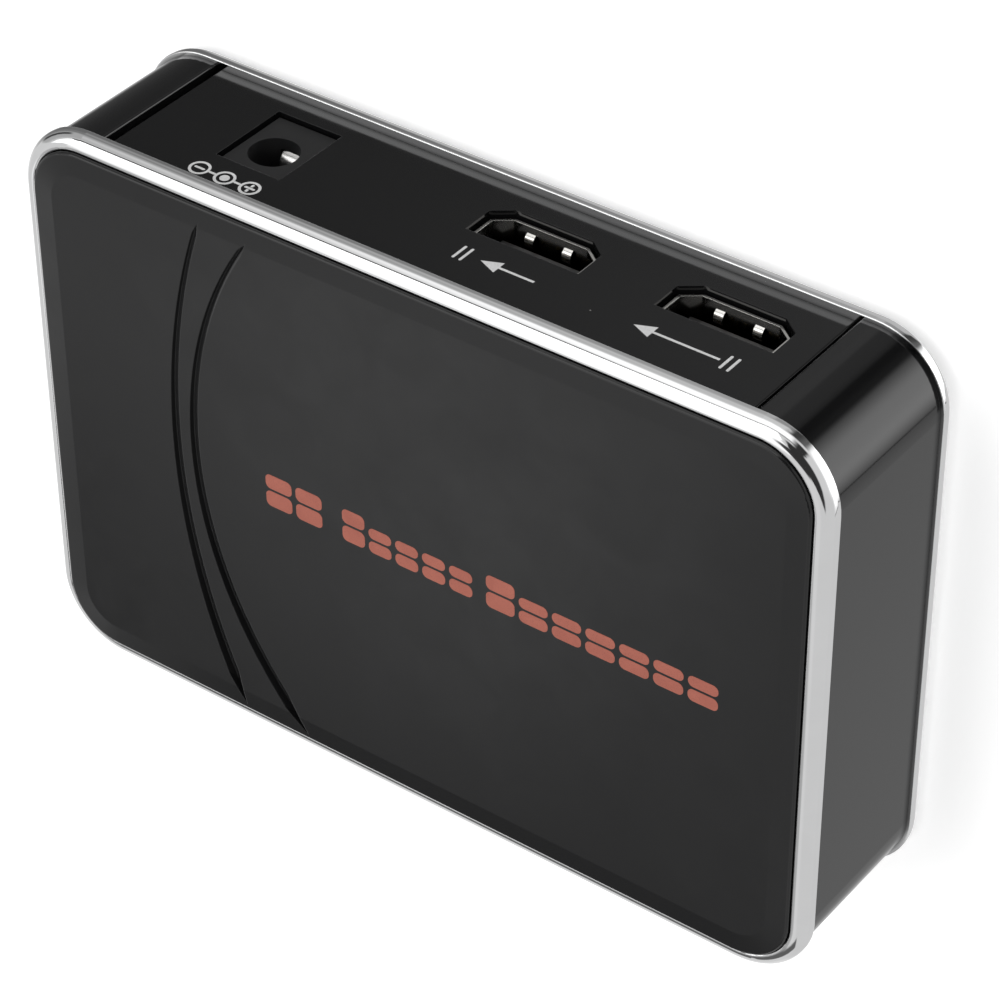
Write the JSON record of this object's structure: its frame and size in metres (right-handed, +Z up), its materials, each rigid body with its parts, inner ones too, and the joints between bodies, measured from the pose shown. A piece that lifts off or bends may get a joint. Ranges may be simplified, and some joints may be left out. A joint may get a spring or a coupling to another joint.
{
  "type": "video capture box",
  "caption": "Flat box with rounded corners, bright trim rings top and bottom, arc grooves on its cover and video, power, drive and microphone sockets; it records the video that passes through",
  "frame": {"origin": "centre of the outline, on the surface that the feet stand on", "axes": "+X along the length towards the end without the arc grooves, +Y out of the rear panel with the video sockets, +Z up through the cover"},
  "size_m": [0.116, 0.08, 0.0275],
  "materials": {
    "cover_black": "satin gloss",
    "panel_black": "glossy",
    "case_black": "satin",
    "trim_silver": "bright plated",
    "foot_rubber": "matte",
    "screw_steel": "plain",
    "board_green": "solder mask",
    "socket_steel": "plated",
    "socket_black": "moulded",
    "socket_white": "moulded",
    "contact_gold": "plated",
    "button_red": "satin",
    "plunger_white": "moulded",
    "pipe_clear": "clear",
    "lamp_white": "clear resin",
    "chip_black": "moulded",
    "pad_grey": "soft",
    "sink_aluminium": "extruded",
    "can_aluminium": "drawn",
    "coil_grey": "pressed powder",
    "part_tan": "fired"
  },
  "bodies": {
    "case": {"top_cover": "cover_black", "top_trim_ring": "trim_silver", "bottom_shell": "case_black", "bottom_trim_ring": "trim_silver", "rear_panel": "panel_black", "front_panel": "panel_black", "rubber_feet": "foot_rubber", "case_screws": "screw_steel", "main_board": "board_green", "board_screws": "screw_steel", "video_in_shell": "socket_steel", "video_in_insert": "socket_black", "video_in_contacts": "contact_gold", "video_out_shell": "socket_steel", "video_out_insert": "socket_black", "video_out_contacts": "contact_gold", "power_jack_body": "socket_black", "power_jack_pin": "socket_steel", "power_jack_spring": "socket_steel", "drive_socket_shell": "socket_steel", "drive_socket_insert": "socket_white", "drive_socket_contacts": "contact_gold", "microphone_jack_body": "socket_black", "microphone_jack_ring": "socket_steel", "microphone_jack_contacts": "socket_steel", "switch_body": "chip_black", "light_pipes": "pipe_clear", "status_lamps": "lamp_white", "video_processor": "chip_black", "thermal_pad": "pad_grey", "heat_sink": "sink_aluminium", "receiver_chip": "chip_black", "transmitter_chip": "chip_black", "memory_chips": "chip_black", "flash_chip": "chip_black", "crystals": "can_aluminium", "can_capacitors": "can_aluminium", "power_inductors": "coil_grey", "voltage_regulator": "chip_black", "chip_parts": "part_tan"},
    "record_button": {"record_button": "button_red"},
    "switch_plunger": {"switch_plunger": "plunger_white"}
  },
  "joints": [
    {"name": "record_button_press", "type": "slide", "parent": "case", "child": "record_button", "axis": [0, 1, 0], "range_m": [0, 0.0005], "stiffness_N_per_m": 600},
    {"name": "switch_plunger_press", "type": "slide", "parent": "case", "child": "switch_plunger", "axis": [0, 1, 0], "range_m": [0, 0.0005]}
  ],
  "couplings": [
    {"joint": "switch_plunger_press", "follows": "record_button_press", "ratio": 1}
  ]
}
